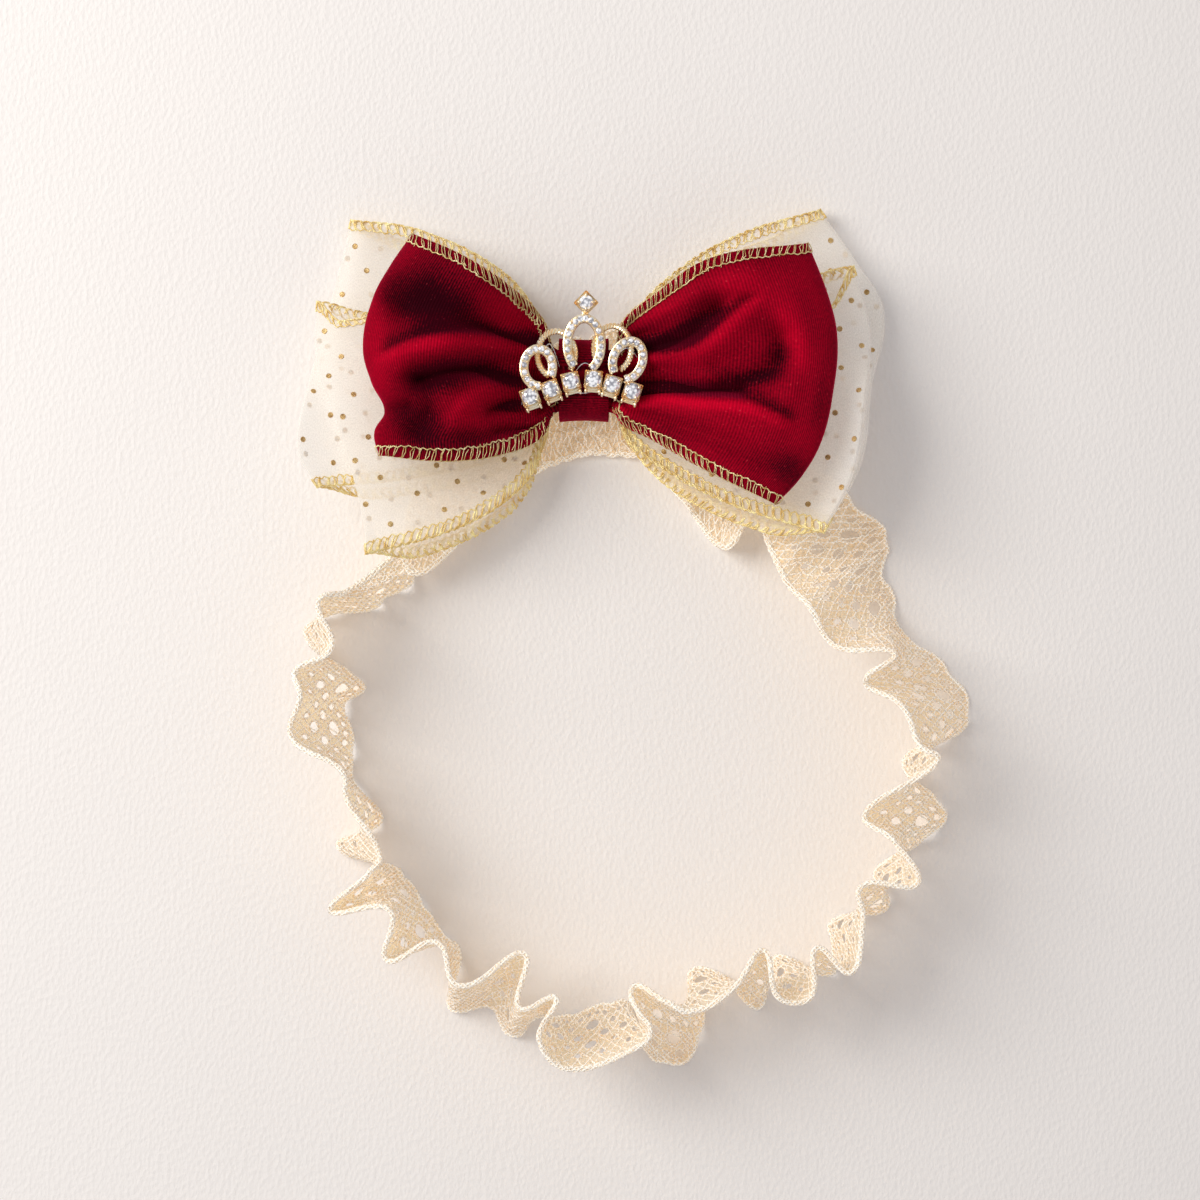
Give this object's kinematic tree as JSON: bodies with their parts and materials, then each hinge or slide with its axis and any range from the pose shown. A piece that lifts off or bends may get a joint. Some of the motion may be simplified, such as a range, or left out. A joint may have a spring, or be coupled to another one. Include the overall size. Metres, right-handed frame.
{
  "type": "bow headband",
  "caption": "Ruffled cotton lace headband with organza and velvet bows, a velvet knot and a small gold crown charm set with clear stones.",
  "frame": {"origin": "middle of the whole object's outline as seen from above, on the surface that it lies on", "axes": "+X to the right and +Y up as the headband is seen from above with its bow at the top, +Z away from the surface that it lies on"},
  "size_m": [0.1433, 0.1823, 0.0277],
  "materials": {
    "cotton_lace": "matt woven cotton lace, cream",
    "organza": "sheer ivory organza with gold dots and a gold overlocked edge",
    "velvet": "dark-red ribbed velvet",
    "gold": "polished gold plating",
    "crystal": "clear faceted glass"
  },
  "bodies": {
    "root": {"lace_band": "cotton_lace", "organza_bow_lower": "organza", "organza_bow_upper": "organza", "velvet_bow": "velvet", "velvet_knot": "velvet", "crown_frame": "gold", "crown_stone_1": "crystal", "crown_stone_2": "crystal", "crown_stone_3": "crystal", "crown_stone_4": "crystal", "crown_stone_5": "crystal", "crown_stone_6": "crystal", "crown_stone_top": "crystal"}
  },
  "joints": []
}
